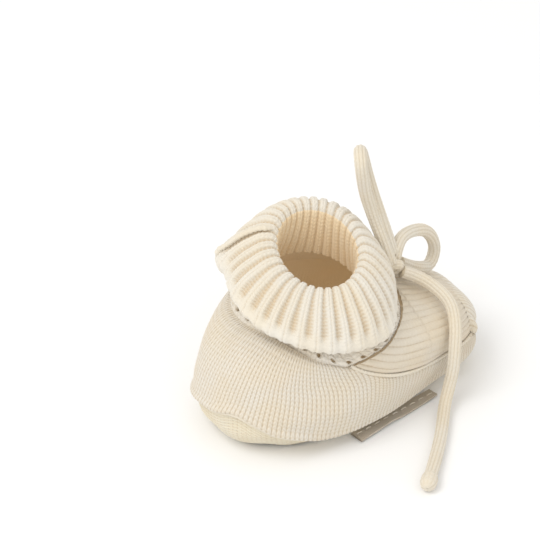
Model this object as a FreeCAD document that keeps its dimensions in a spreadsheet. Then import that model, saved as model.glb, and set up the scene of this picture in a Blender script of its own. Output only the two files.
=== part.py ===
import FreeCAD, Part
import Sketcher
import math
import os

# Knitted baby bootie with a turned-down ribbed cuff, an ankle drawstring tied in a bow,
# and a woven label sewn to the side of the sole.
# Millimetres. The toe points to -Y, +Z is up, the floor is Z = 0, and X = 0 is the middle
# of the foot. "near" is the -X side and "far" is the +X side.

Vector = FreeCAD.Vector
Rotation = FreeCAD.Rotation
Placement = FreeCAD.Placement
UP = Vector(0, 0, 1)

doc = FreeCAD.newDocument("baby_bootie")
sheet = doc.addObject("Spreadsheet::Sheet", "sizes")

# The foot and the inner wall of the cuff are one lofted form. Each ring has its height, how
# far it reaches behind and in front of the middle, its half width, and its lean to the near
# side in degrees.
FOOT_RINGS = [
    ("tread", 0.0, 40.0, 43.0, 20.0, 0.0),
    ("welt", 4.0, 45.0, 47.3, 23.3, 0.0),
    ("girth", 10.0, 50.0, 50.0, 27.0, 0.0),
    ("flank", 16.0, 49.4, 48.5, 27.3, 0.0),
    ("instep", 22.0, 47.6, 45.0, 26.4, 0.0),
    ("arch", 28.0, 44.8, 35.5, 24.8, 2.0),
    ("shoulder", 34.0, 40.5, 22.5, 23.0, 6.0),
    ("ankle", 39.0, 34.5, 12.0, 20.5, 10.0),
    ("neck", 44.0, 28.5, 8.5, 17.0, 14.0),
    ("wall", 50.0, 24.4, 6.6, 14.6, 17.0),
    ("crest", 57.0, 22.8, 6.0, 14.2, 19.0),
]

# The turned-down flap of the cuff, from its hem up to the fold. Each ring has its height, its
# radius, its place along the foot (behind the middle), its lean, and the fabric's thickness.
FLAP_RINGS = [
    ("hem", 43.5, 26.0, 10.4, 15.0, 2.0),
    ("flare", 47.5, 25.2, 10.0, 16.0, 2.1),
    ("bell", 52.0, 21.8, 9.2, 18.0, 2.4),
    ("brow", 56.5, 17.0, 8.6, 19.0, 2.6),
    ("fold", 58.6, 14.4, 8.4, 20.0, 2.4),
]

SIZES = {
    "knit_thickness": 2.4,
    "seam_height": 0.9,
    "seam_width": 1.6,
    "sole_seam_width": 1.5,
    "seam_toe_gap": 9.0,
    "insole_thickness": 1.5,
    "insole_inset": 3.2,
    "sole_heel_rise": 15.0,
    "sole_waist_rise": 6.5,
    "sole_waist_place": 22.0,
    "sole_toe_rise": 7.5,
    "vamp_back_place": 18.0,
    "vamp_back_rise": 37.0,
    "vamp_bend_place": 3.0,
    "vamp_bend_rise": 22.0,
    "vamp_turn_place": 12.0,
    "vamp_turn_rise": 17.8,
    "vamp_toe_rise": 13.0,
    "toe_band_width": 7.0,
    "band_bottom": 36.6,
    "band_top": 42.4,
    "band_lean": 13.0,
    "band_place": 10.0,
    "eyelet_diameter": 1.5,
    "eyelet_level": 38.6,
    "cord_diameter": 4.1,
    "ankle_cord_diameter": 3.0,
    "ankle_loop_length": 47.0,
    "ankle_loop_width": 42.0,
    "ankle_loop_place": 6.8,
    "ankle_loop_level": 43.2,
    "ankle_loop_lean": 15.0,
    "ankle_loop_pitch": 8.0,
    "knot_length": 9.2,
    "knot_depth": 8.0,
    "knot_height": 6.8,
    "tip_length": 8.0,
    "tip_diameter": 5.2,
    "label_length": 33.0,
    "label_width_heel": 4.3,
    "label_width_toe": 2.8,
    "label_thickness": 0.8,
    "label_side": 22.9,
    "label_back": 9.5,
    "label_lift": 0.3,
    "stitch_length": 2.0,
    "stitch_width": 0.5,
    "stitch_height": 0.3,
}
EYELETS = 30
LABEL_STITCHES = 9
REACH = 90.0
CUFF_SEAM_BEARING = 45.0
LABEL_SLANT = 5.5

KNOT = Vector(-2.0, -19.5, 39.8)
BOW_LOOP_TALL = [
    (-2.7, -18.5, 42.0), (0.6, -17.6, 49.0), (4.0, -15.6, 58.0), (2.6, -11.0, 69.5),
    (0.2, -7.6, 82.0), (7.0, -12.2, 82.0), (5.6, -14.8, 69.5), (3.4, -18.4, 56.0),
    (-0.2, -20.8, 44.0),
]
BOW_LOOP_SMALL = [
    (-0.6, -21.5, 42.0), (0.2, -22.8, 46.4), (1.4, -27.0, 48.2), (2.8, -34.8, 45.8),
    (4.4, -40.0, 39.8), (5.2, -42.2, 33.4), (4.0, -39.2, 28.8), (2.0, -33.8, 31.6),
    (0.6, -28.4, 35.0), (-0.4, -23.5, 39.2),
]
TAIL_NEAR = [
    (-4.0, -21.8, 38.6), (-5.6, -26.6, 36.0), (-10.4, -30.2, 33.2), (-17.0, -31.4, 30.8),
    (-22.8, -29.0, 27.4), (-25.8, -26.8, 21.0), (-26.9, -25.8, 14.2), (-26.8, -24.8, 8.0),
    (-29.4, -21.0, 2.8), (-36.9, -14.4, 2.3), (-45.8, -5.6, 2.3), (-54.3, 4.1, 2.7),
]
TAIL_FAR = [
    (1.6, -21.0, 38.8), (9.0, -23.5, 38.5), (17.0, -24.5, 35.0), (24.0, -23.5, 28.5),
    (29.5, -21.0, 19.5), (32.0, -17.5, 10.0), (33.5, -12.0, 3.2), (35.5, -4.0, 2.6),
]


def fill_sheet():
    """Write every driving dimension into the spreadsheet with its alias."""
    cells = dict(SIZES)
    for name, height, back, front, half, lean in FOOT_RINGS:
        cells[name + "_height"] = height
        cells[name + "_back"] = back
        cells[name + "_front"] = front
        cells[name + "_half"] = half
        cells[name + "_lean"] = lean
    for name, height, radius, place, lean, thickness in FLAP_RINGS:
        cells[name + "_height"] = height
        cells[name + "_radius"] = radius
        cells[name + "_place"] = place
        cells[name + "_lean"] = lean
        cells[name + "_thickness"] = thickness
    for row, (alias, value) in enumerate(cells.items(), start=1):
        sheet.set("A%d" % row, alias)
        sheet.set("B%d" % row, str(value))
        sheet.setAlias("B%d" % row, alias)
    doc.recompute()


def size(alias):
    return float(sheet.get(alias))


def add(kind, label, **values):
    """Add one document object; a value that is text is bound as an expression."""
    item = doc.addObject(kind, label)
    item.Label = label
    for name, value in values.items():
        if isinstance(value, str):
            item.setExpression(name, value)
        else:
            setattr(item, name, value)
    return item


def lean_rotation(lean, pitch=0.0):
    """Rotation of a level ring whose near side drops by lean and whose toe end by pitch."""
    return Rotation(Vector(0, 1, 0), -lean) * Rotation(Vector(1, 0, 0), pitch)


def oval(label, along, across, centre_y, height, lean):
    """Ellipse standing for one ring: its long axis lies along the foot."""
    ring = add("Part::Ellipse", label)
    ring.Placement = Placement(Vector(), lean_rotation(lean) * Rotation(UP, 90))
    ring.setExpression("MajorRadius", along)
    ring.setExpression("MinorRadius", across)
    ring.setExpression("Placement.Base.y", centre_y)
    ring.setExpression("Placement.Base.z", height)
    return ring


def foot_loft(label, inset, lift, rings, top_rise="0"):
    """Loft through the foot rings, each drawn in by inset; the first is raised by lift."""
    ovals = []
    for index, (name, _, _, _, _, lean) in enumerate(rings):
        rise = lift if index == 0 else (top_rise if index == len(rings) - 1 else "0")
        cell = "sizes." + name
        ovals.append(oval(
            "%s_%s" % (label, name),
            "(%s_back + %s_front) / 2 - %s" % (cell, cell, inset),
            "%s_half - %s" % (cell, inset),
            "(%s_back - %s_front) / 2" % (cell, cell),
            "%s_height + %s" % (cell, rise),
            lean,
        ))
    return add("Part::Loft", label, Sections=ovals, Solid=True, Ruled=True)


def flap_loft(label, inset, drop, rings):
    """Loft through the flap rings, drawn in by inset (an expression per ring) and lowered."""
    ovals = []
    for name, _, _, _, lean, _ in rings:
        cell = "sizes." + name
        radius = "%s_radius - (%s)" % (cell, inset.replace("RING", cell))
        ovals.append(oval(
            "%s_%s" % (label, name), radius, radius, cell + "_place",
            "%s_height - (%s)" % (cell, drop.replace("RING", cell)), lean,
        ))
    return add("Part::Loft", label, Sections=ovals, Solid=True, Ruled=True)


def origin_sketch(body, name, role):
    """Empty sketch on one of the body's own origin planes."""
    sketch = body.newObject("Sketcher::SketchObject", name)
    plane = [item for item in body.Origin.OriginFeatures if item.Role == role][0]
    sketch.AttachmentSupport = [(plane, "")]
    sketch.MapMode = "FlatFace"
    return sketch


def closed_outline(sketch, outline):
    """Closed polygon whose corners are bound to pairs of expressions."""
    count = len(outline)
    draft = [Vector(10 * math.cos(6.28 * index / count), 10 * math.sin(6.28 * index / count), 0)
             for index in range(count)]
    for index in range(count):
        sketch.addGeometry(Part.LineSegment(draft[index], draft[(index + 1) % count]), False)
    for index, (along, up) in enumerate(outline):
        sketch.addConstraint(
            Sketcher.Constraint("Coincident", index, 2, (index + 1) % count, 1))
        for axis, expression in (("DistanceX", along), ("DistanceY", up)):
            place = sketch.addConstraint(Sketcher.Constraint(axis, -1, 1, index, 1, 1.0))
            sketch.setExpression("Constraints[%d]" % place, expression)


def side_prism(label, outline):
    """Prism right across the foot from an outline in the Y-Z plane."""
    body = doc.addObject("PartDesign::Body", label)
    body.Label = label
    sketch = origin_sketch(body, label + "_outline", "YZ_Plane")
    closed_outline(sketch, outline)
    pad = body.newObject("PartDesign::Pad", label + "_pad")
    pad.Profile = sketch
    pad.Length = 2 * REACH
    pad.SideType = "Symmetric"
    return body


def above_plane(label, level):
    """Everything above a plane that leans like the ankle band."""
    block = add("Part::Box", label, Length=2 * REACH, Width=2 * REACH, Height=REACH)
    turn = lean_rotation(size("band_lean"))
    corner = turn.multVec(Vector(-REACH, -REACH, 0))
    block.Placement = Placement(Vector(), turn)
    block.setExpression("Placement.Base.x", "%.6f" % corner.x)
    block.setExpression("Placement.Base.y", "sizes.band_place + %.6f" % corner.y)
    block.setExpression("Placement.Base.z", "sizes.%s + %.6f" % (level, corner.z))
    return block


def cut(label, base, tool):
    return add("Part::Cut", label, Base=base, Tool=tool)


def common(label, base, tool):
    return add("Part::Common", label, Base=base, Tool=tool)


def sole_outline(rise):
    """Outline of everything below the sole seam, raised by an expression."""
    return [
        (str(-REACH), "-5"),
        (str(REACH), "-5"),
        (str(REACH), "sizes.sole_heel_rise + 4 + " + rise),
        ("52", "sizes.sole_heel_rise + " + rise),
        ("sizes.sole_waist_place", "sizes.sole_waist_rise + " + rise),
        ("-sizes.sole_waist_place", "sizes.sole_waist_rise - 1 + " + rise),
        ("-52", "sizes.sole_toe_rise + " + rise),
        (str(-REACH), "sizes.sole_toe_rise + " + rise),
    ]


def vamp_outline(rise):
    """Outline of everything above the vamp seam, lowered by a negative rise."""
    return [
        ("sizes.vamp_back_place + (%s)" % rise, str(REACH)),
        ("sizes.vamp_back_place + (%s)" % rise, "sizes.vamp_back_rise"),
        ("sizes.vamp_bend_place + (%s)" % rise, "sizes.vamp_bend_rise - (%s) / 2" % rise),
        ("-sizes.vamp_turn_place", "sizes.vamp_turn_rise - (%s)" % rise),
        ("-54", "sizes.vamp_toe_rise - (%s)" % rise),
        (str(-REACH), "sizes.vamp_toe_rise - (%s)" % rise),
        (str(-REACH), str(REACH)),
    ]


def toe_outline():
    """Outline of everything in front of the toe seam."""
    return [
        ("-sizes.flank_front + sizes.toe_band_width - 2", "0"),
        ("-sizes.flank_front + sizes.toe_band_width + 2", "40"),
        (str(-REACH), "40"),
        (str(-REACH), "0"),
    ]


def radial_cutters():
    """One thin cylinder for each eyelet, spread round the ankle band."""
    middle = Vector(0, size("band_place"), size("eyelet_level"))
    turn = lean_rotation(size("band_lean"))
    pins = []
    for index in range(EYELETS):
        bearing = 360.0 * (index + 0.5) / EYELETS
        pin = add("Part::Cylinder", "eyelet_pin_%02d" % index, Height=REACH / 2,
                  Radius="sizes.eyelet_diameter / 2")
        outward = turn * Rotation(UP, bearing) * Rotation(Vector(0, 1, 0), 90)
        pin.Placement = Placement(middle, outward)
        pins.append(pin)
    return add("Part::Compound", "eyelet_pins", Links=pins)


def make_foot_form():
    """The solid forms that the knitted pieces are cut from."""
    forms = {}
    forms["outer"] = foot_loft("foot_outer", "0", "0", FOOT_RINGS)
    forms["inner"] = foot_loft("foot_inner", "sizes.knit_thickness", "sizes.knit_thickness",
                               FOOT_RINGS, "8")
    forms["proud"] = foot_loft("foot_proud", "-sizes.seam_height", "0", FOOT_RINGS)
    forms["shell"] = cut("foot_shell", forms["outer"], forms["inner"])
    forms["skin"] = cut("foot_skin", forms["proud"], forms["outer"])
    forms["sole_zone"] = side_prism("sole_zone", sole_outline("0"))
    forms["vamp_zone"] = side_prism("vamp_zone", vamp_outline("0"))
    forms["toe_zone"] = side_prism("toe_zone", toe_outline())
    forms["above_band_bottom"] = above_plane("above_band_bottom", "band_bottom")
    forms["above_band_top"] = above_plane("above_band_top", "band_top")
    return forms


def make_foot_panels(forms):
    """Sole, side panel, vamp and toe band."""
    sole = common("sole", forms["shell"], forms["sole_zone"])
    upper = cut("upper_shell", forms["shell"], forms["sole_zone"])
    lower = cut("lower_shell", upper, forms["above_band_bottom"])
    instep = common("instep_shell", lower, forms["vamp_zone"])
    side_panel = cut("side_panel", lower, forms["vamp_zone"])
    vamp = cut("vamp", instep, forms["toe_zone"])
    toe_band = common("toe_band", instep, forms["toe_zone"])
    return upper, [sole, side_panel, vamp, toe_band]


def make_insole():
    """Footbed lying on the inside of the sole."""
    inset = "sizes.insole_inset"
    ovals = []
    for end, rise in (("under", "0.1"), ("top", "0.1 + sizes.insole_thickness")):
        ovals.append(oval(
            "insole_" + end,
            "(sizes.tread_back + sizes.tread_front) / 2 - " + inset,
            "sizes.tread_half - " + inset,
            "(sizes.tread_back - sizes.tread_front) / 2",
            "sizes.knit_thickness + " + rise, 0.0,
        ))
    return add("Part::Loft", "insole", Sections=ovals, Solid=True, Ruled=True)


def make_ankle_pieces(forms, upper):
    """Eyelet band, and the cuff with its inner wall, fold and turned-down flap."""
    ring = common("ankle_ring", upper, forms["above_band_bottom"])
    plain_band = cut("plain_band", ring, forms["above_band_top"])
    band = cut("eyelet_band", plain_band, radial_cutters())
    wall = common("cuff_wall", upper, forms["above_band_top"])
    flap_outer = flap_loft("flap_outer", "0", "0", FLAP_RINGS)
    flap_under = flap_loft("flap_under", "RING_thickness", "RING_thickness / 4 + 0.2",
                           FLAP_RINGS[:-1])
    flap = cut("flap_shell", flap_outer, flap_under)
    joined = add("Part::Fuse", "cuff_joined", Base=flap, Tool=wall)
    cuff = cut("ribbed_cuff", joined, forms["inner"])
    return [band, cuff]


def make_seams(forms):
    """Raised seam yarns: round the sole, along both sides of the vamp, and up the cuff."""
    rise = "sizes.seam_width"
    sole_slab = cut("sole_seam_slab", side_prism("sole_seam_zone", sole_outline("sizes.sole_seam_width")),
                    forms["sole_zone"])
    sole_seam = common("sole_seam", forms["skin"], sole_slab)
    vamp_slab = cut("vamp_seam_slab", side_prism("vamp_seam_zone", vamp_outline(rise)),
                    forms["vamp_zone"])
    vamp_skin = cut("vamp_skin", forms["skin"], forms["above_band_bottom"])
    both = common("vamp_seams", vamp_skin, vamp_slab)
    seams = [sole_seam]
    for label, start in (("vamp_seam_near", -REACH), ("vamp_seam_far", 0.0)):
        half = add("Part::Box", label + "_half", Length=REACH, Width=2 * REACH, Height=REACH)
        half.Placement = Placement(Vector(start, 0, 0), Rotation())
        half.setExpression("Placement.Base.y", "sizes.seam_toe_gap - sizes.flank_front")
        seams.append(common(label, both, half))
    seams.append(make_cuff_seam())
    return seams


def make_cuff_seam():
    """Seam ridge where the ends of the cuff are joined, at the back on the far side."""
    proud = flap_loft("flap_proud", "-sizes.seam_height", "0", FLAP_RINGS[:-1])
    core = flap_loft("flap_core", "0", "1", FLAP_RINGS[:-1])
    skin = cut("flap_skin", proud, core)
    blade = add("Part::Box", "cuff_seam_blade", Length=REACH / 2, Height=REACH,
                Width="sizes.seam_width * 1.5")
    outward = Rotation(UP, CUFF_SEAM_BEARING)
    middle = Vector(0, size("hem_place"), 0)
    blade.Placement = Placement(middle, outward)
    ridge = common("cuff_seam_ridge", skin, blade)
    return cut("cuff_seam", ridge, doc.getObject("flap_outer"))


def rounded_route(points):
    """Straight runs joined by tangent arcs; returns the wire and the arcs' radii."""
    points = [Vector(*point) for point in points]
    edges = []
    radii = []
    start = points[0]
    for before, corner, after in zip(points, points[1:], points[2:]):
        back = before - corner
        ahead = after - corner
        half_turn = (math.pi - back.getAngle(ahead)) / 2
        reach = 0.45 * min(back.Length, ahead.Length)
        radius = reach / math.tan(half_turn)
        back.normalize()
        ahead.normalize()
        inward = back + ahead
        inward.normalize()
        depth = radius / math.cos(half_turn) - radius
        arc_start = corner + back * reach
        arc_end = corner + ahead * reach
        edges.append(Part.LineSegment(start, arc_start).toShape())
        edges.append(Part.Arc(arc_start, corner + inward * depth, arc_end).toShape())
        radii.append(radius)
        start = arc_end
    edges.append(Part.LineSegment(start, points[-1]).toShape())
    return Part.Wire(edges), radii


def make_cord(label, points):
    """Round cord swept along its route; its radii and volume are printed as a check."""
    route, radii = rounded_route(points)
    first = Vector(*points[0])
    heading = Vector(*points[1]) - first
    section = Part.Wire(Part.Circle(first, heading, size("cord_diameter") / 2).toShape())
    cord = doc.addObject("Part::Feature", label)
    cord.Label = label
    cord.Shape = route.makePipeShell([section], True, True)
    swept = route.Length * math.pi * size("cord_diameter") ** 2 / 4
    print("%s: length %.1f, tightest radius %.1f, volume ratio %.3f" % (
        label, route.Length, min(radii), cord.Shape.Volume / swept))
    return cord


def make_tip(label, points):
    """Rounded end of a tail, in line with the cord's last run."""
    end = Vector(*points[-1])
    heading = end - Vector(*points[-2])
    tip = add("Part::Ellipsoid", label, Radius1="sizes.tip_length / 2",
              Radius2="sizes.tip_diameter / 2", Radius3="sizes.tip_diameter / 2")
    tip.Placement = Placement(end, Rotation(UP, heading))
    return tip


def make_drawstring():
    """Cord round the ankle under the flap, its knot, two bow loops and two tails."""
    pitch = lean_rotation(size("ankle_loop_lean"), size("ankle_loop_pitch"))
    spine = add("Part::Ellipse", "ankle_loop_line", MajorRadius="sizes.ankle_loop_length / 2",
                MinorRadius="sizes.ankle_loop_width / 2")
    spine.Placement = Placement(Vector(), pitch * Rotation(UP, 90))
    spine.setExpression("Placement.Base.y", "sizes.ankle_loop_place")
    spine.setExpression("Placement.Base.z", "sizes.ankle_loop_level")
    doc.recompute()
    ring = spine.Shape.Edges[0]
    profile = add("Part::Circle", "ankle_loop_section", Radius="sizes.ankle_cord_diameter / 2")
    heading = ring.tangentAt(ring.FirstParameter)
    profile.Placement = Placement(ring.valueAt(ring.FirstParameter), Rotation(UP, heading))
    loop = add("Part::Sweep", "ankle_drawstring", Sections=[profile], Spine=(spine, ["Edge1"]),
               Solid=True, Frenet=True)
    knot = add("Part::Ellipsoid", "bow_knot", Radius1="sizes.knot_height / 2",
               Radius2="sizes.knot_length / 2", Radius3="sizes.knot_depth / 2")
    knot.Placement = Placement(KNOT, Rotation())
    return [
        loop,
        knot,
        make_cord("bow_loop_tall", BOW_LOOP_TALL),
        make_cord("bow_loop_small", BOW_LOOP_SMALL),
        make_cord("tail_near", TAIL_NEAR),
        make_cord("tail_far", TAIL_FAR),
        make_tip("tail_tip_near", TAIL_NEAR),
        make_tip("tail_tip_far", TAIL_FAR),
    ]


def make_label():
    """Woven label: a thin pad, sewn along one long edge, and its row of stitches."""
    body = doc.addObject("PartDesign::Body", "side_label")
    body.Label = "side_label"
    outline = origin_sketch(body, "label_outline", "XY_Plane")
    closed_outline(outline, [
        ("0", "0"),
        ("0", "-sizes.label_length"),
        ("-sizes.label_width_toe", "-sizes.label_length"),
        ("-sizes.label_width_heel", "0"),
    ])
    pad = body.newObject("PartDesign::Pad", "label_pad")
    pad.Profile = outline
    pad.setExpression("Length", "sizes.label_thickness")
    body.Placement = label_placement(0.0)
    doc.recompute()
    return [body, make_label_stitches()]


def label_placement(height):
    """Where the label's sewn edge starts, turned to follow the edge of the sole."""
    corner = Vector(-size("label_side"), size("label_back"), size("label_lift") + height)
    return Placement(corner, Rotation(UP, LABEL_SLANT))


def make_label_stitches():
    """Short threads along the sewn edge of the label."""
    pitch = size("label_length") / LABEL_STITCHES
    frame = label_placement(size("label_thickness"))
    threads = []
    for index in range(LABEL_STITCHES):
        thread = add("Part::Box", "label_thread_%d" % index, Length="sizes.stitch_width",
                     Width="sizes.stitch_length", Height="sizes.stitch_height")
        start = Vector(-1.3, -pitch * (index + 0.5) - size("stitch_length") / 2, 0)
        thread.Placement = frame.multiply(Placement(start, Rotation()))
        threads.append(thread)
    return add("Part::Compound", "label_stitches", Links=threads)


def check_and_export(nodes):
    """Refuse a document with a broken object, then write one STEP file for each node."""
    doc.recompute()
    for item in doc.Objects:
        if "Invalid" in item.State or "Error" in item.State:
            raise RuntimeError("%s did not recompute: %s" % (item.Label, item.State))
    os.makedirs("parts", exist_ok=True)
    for node in nodes:
        shape = node.Shape
        if shape.isNull() or not shape.isValid() or not shape.Solids:
            raise RuntimeError("%s has no valid solid" % node.Label)
        print("%s: %d solid(s), %.1f mm3" % (node.Label, len(shape.Solids), shape.Volume))
        shape.exportStep("parts/%s.step" % node.Label)


def main():
    fill_sheet()
    forms = make_foot_form()
    upper, panels = make_foot_panels(forms)
    nodes = panels
    nodes += [make_insole()]
    nodes += make_ankle_pieces(forms, upper)
    nodes += make_seams(forms)
    nodes += make_drawstring()
    nodes += make_label()
    check_and_export(nodes)


main()
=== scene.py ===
import bmesh
import bpy
import math
import numpy as np
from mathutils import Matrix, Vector


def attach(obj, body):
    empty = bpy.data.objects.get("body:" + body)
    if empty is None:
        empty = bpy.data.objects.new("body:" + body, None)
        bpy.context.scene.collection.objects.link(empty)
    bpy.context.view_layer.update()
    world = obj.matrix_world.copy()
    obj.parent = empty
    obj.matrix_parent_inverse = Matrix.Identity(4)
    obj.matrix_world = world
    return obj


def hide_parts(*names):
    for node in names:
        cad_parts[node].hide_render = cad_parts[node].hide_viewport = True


# Knitted baby bootie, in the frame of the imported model. Shapes are worked out in
# millimetres and written to Blender in metres. The toe points to -Y, "near" is the -X side,
# and "ahead" is the distance towards the toe, which is -Y.

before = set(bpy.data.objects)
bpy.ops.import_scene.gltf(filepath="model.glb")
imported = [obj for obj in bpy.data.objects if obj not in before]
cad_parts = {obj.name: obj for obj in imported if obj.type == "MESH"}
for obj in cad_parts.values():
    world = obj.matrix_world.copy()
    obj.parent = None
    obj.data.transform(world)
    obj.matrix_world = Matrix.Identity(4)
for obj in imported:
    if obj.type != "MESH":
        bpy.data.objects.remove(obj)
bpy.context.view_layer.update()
MM = 0.001
ROOT = "bootie"

# ---------------------------------------------------------------- driving sizes (mm)

# Rings of the foot: height, reach behind, reach ahead, half width, lean to the near side.
FOOT_RINGS = np.array([
    (0.0, 40.0, 43.0, 20.0, 0.0),
    (4.0, 45.0, 47.3, 23.3, 0.0),
    (10.0, 47.6, 48.4, 26.6, 0.0),
    (16.0, 47.9, 47.6, 27.2, 0.0),
    (22.0, 46.6, 44.4, 26.4, 0.0),
    (28.0, 44.3, 35.5, 24.8, 2.0),
    (34.0, 40.5, 22.5, 23.0, 6.0),
    (39.0, 34.5, 12.0, 20.5, 10.0),
    (44.0, 28.5, 8.5, 17.0, 14.0),
    (50.0, 24.4, 6.6, 14.6, 17.0),
    (57.0, 22.8, 6.0, 14.2, 19.0),
])
# How much wider or narrower than its ring the lower foot is, by distance ahead.
WAIST = np.array([
    (-50.0, 1.0), (-16.0, 1.05), (0.0, 1.0), (10.0, 0.93), (20.0, 0.87), (28.0, 0.85),
    (36.0, 0.87), (44.0, 0.88), (52.0, 0.9),
])
# Rings of the cuff from the neck, up the inside, over the fold, down the flap, round the
# hem and up under it: height, half width, half length, place behind the middle, lean, pitch.
CUFF_RINGS = np.array([
    (42.6, 15.4, 15.4, 10.0, 13.0, 0.0),
    (46.0, 14.3, 14.2, 9.4, 17.0, 0.0),
    (50.0, 13.5, 12.9, 8.6, 21.0, 2.0),
    (53.6, 13.3, 12.1, 7.9, 24.0, 4.0),
    (56.2, 13.6, 12.2, 7.5, 25.0, 4.6),
    (57.6, 15.2, 13.9, 7.4, 25.0, 4.6),
    (57.3, 17.4, 16.4, 7.7, 24.0, 3.0),
    (54.6, 20.6, 20.0, 8.2, 21.5, 0.0),
    (50.2, 23.6, 23.4, 8.8, 18.0, -4.0),
    (46.0, 25.6, 25.4, 9.3, 15.5, -7.5),
    (43.6, 26.2, 26.0, 9.5, 14.0, -9.0),
    (42.8, 25.6, 25.4, 9.5, 14.0, -9.0),
    (43.4, 24.6, 24.4, 9.5, 14.0, -9.0),
    (47.5, 22.6, 22.4, 9.4, 16.0, -6.0),
    (51.5, 19.6, 19.4, 9.0, 18.0, -2.0),
])
# Lower edge of the ankle band: its height by bearing about the ankle, 0 at the toe.
BAND_EDGE = np.array([
    (0.0, 35.5), (45.0, 32.0), (70.0, 29.4), (92.0, 28.9), (112.0, 32.0), (129.0, 35.4),
    (151.0, 38.4), (171.0, 39.5), (194.0, 39.8), (225.0, 40.4), (262.0, 41.5), (295.0, 40.0),
    (330.0, 37.2), (360.0, 35.5),
])
BAND_HEIGHT = 6.5
ANKLE_PLACE = 10.0
KNIT_THICKNESS = 2.0
WALE = 1.4
SIDE_WALES = 164
PANEL_LEVEL = 14.0
COURSE = 1.05
RIDGE_PITCH = 2.6
RIDGE_REFERENCE = 17.0
RIBS = 34
EYELETS = 30
CORD_DIAMETER = 4.1
CORD_WALES = 10
CORD_STITCH = 1.5
CUFF_SEAM_BEARING = 225.0
FOOT_MIDDLE = np.array([0.0, 0.0, 18.0])
CUFF_MIDDLE = np.array([0.0, 9.5, 40.0])
# Which of the cuff's rings is which.
FOLD, CREST, FLARE, FLAP, HEM, HEM_TURN = 4, 5, 7, 8, 10, 11
# Inside count that marks every column of a sheet, so the whole sheet gets the painted-shade inside
# material.
EVERY_COLUMN = 999

# The label, in millimetres and degrees: its heel corner, its slant and its outline.
LABEL_SIDE = 22.9
LABEL_BACK = 9.5
LABEL_SLANT = 5.5
LABEL_LENGTH = 33.0
LABEL_WIDTH_HEEL = 4.3
LABEL_WIDTH_TOE = 2.8
LABEL_TUCKED = 0.9
LABEL_STITCHES = 9

# The ankle part of the drawstring: a tilted oval under the flap.
ANKLE_CORD_RADIUS = 1.5
ANKLE_CORD_WIDE = 21.0
ANKLE_CORD_LONG = 23.5
ANKLE_CORD_PLACE = 6.8
ANKLE_CORD_LEVEL = 43.2
ANKLE_CORD_LEAN = 15.0
ANKLE_CORD_PITCH = 8.0

# Height of the sole seam by bearing round the foot, 0 at the toe and 90 on the near side.
SOLE_SEAM = np.array([
    (0.0, 8.0), (45.0, 6.5), (90.0, 4.5), (112.0, 4.8), (124.0, 7.8), (136.0, 10.6),
    (148.0, 14.8), (159.0, 16.9), (172.0, 15.0), (186.0, 12.8), (215.0, 9.5), (250.0, 6.0),
    (300.0, 5.5), (330.0, 6.8), (360.0, 8.0),
])
# Height of the vamp seam by distance ahead.
VAMP_SEAM = np.array([
    (-24.0, 48.0), (-20.0, 40.0), (-13.3, 31.2), (-8.8, 26.9), (-3.8, 24.0), (3.7, 20.5),
    (11.8, 17.7), (19.2, 15.9), (27.0, 15.0), (38.0, 14.4), (54.0, 13.4),
])
TOE_SEAM_AHEAD = 41.0

# The cords' routes, the same points as in the CAD source (mm).
BOW_LOOP_TALL = [
    (-2.7, -18.5, 42.0), (0.6, -17.6, 49.0), (4.0, -15.6, 58.0), (2.6, -11.0, 69.5),
    (0.2, -7.6, 82.0), (7.0, -12.2, 82.0), (5.6, -14.8, 69.5), (3.4, -18.4, 56.0),
    (-0.2, -20.8, 44.0),
]
BOW_LOOP_SMALL = [
    (-0.6, -21.5, 42.0), (0.2, -22.8, 46.4), (1.4, -27.0, 48.2), (2.8, -34.8, 45.8),
    (4.4, -40.0, 39.8), (5.2, -42.2, 33.4), (4.0, -39.2, 28.8), (2.0, -33.8, 31.6),
    (0.6, -28.4, 35.0), (-0.4, -23.5, 39.2),
]
TAIL_NEAR = [
    (-4.0, -21.8, 38.6), (-5.6, -26.6, 36.0), (-10.4, -30.2, 33.2), (-17.0, -31.4, 30.8),
    (-22.8, -29.0, 27.4), (-25.8, -26.8, 21.0), (-26.9, -25.8, 14.2), (-26.8, -24.8, 8.0),
    (-29.4, -21.0, 2.8), (-36.9, -14.4, 2.3), (-45.8, -5.6, 2.3), (-54.3, 4.1, 2.7),
]
TAIL_FAR = [
    (1.6, -21.0, 38.8), (9.0, -23.5, 38.5), (17.0, -24.5, 35.0), (24.0, -23.5, 28.5),
    (29.5, -21.0, 19.5), (32.0, -17.5, 10.0), (33.5, -12.0, 3.2), (35.5, -4.0, 2.6),
]


# ---------------------------------------------------------------- camera

def make_camera():
    """Camera behind and above the heel on the near side, aimed beside the bootie."""
    azimuth = math.radians(233.8)
    elevation = math.radians(38.0)
    distance = 600.0
    back = Vector((math.sin(azimuth) * math.cos(elevation),
                   -math.cos(azimuth) * math.cos(elevation), math.sin(elevation)))
    right = Vector((math.cos(azimuth), math.sin(azimuth), 0.0))
    up = back.cross(right)
    middle = Vector((0.0, 0.0, 20.0))
    place = middle + back * distance
    aim = middle - right * 21.0 + up * 20.1
    data = bpy.data.cameras.new("camera")
    data.lens = 128.4
    data.clip_start = 0.01
    camera = bpy.data.objects.new("camera", data)
    bpy.context.scene.collection.objects.link(camera)
    camera.location = place * MM
    camera.rotation_euler = (place - aim).to_track_quat("Z", "Y").to_euler()
    bpy.context.scene.camera = camera


# ---------------------------------------------------------------- numbers

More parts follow.
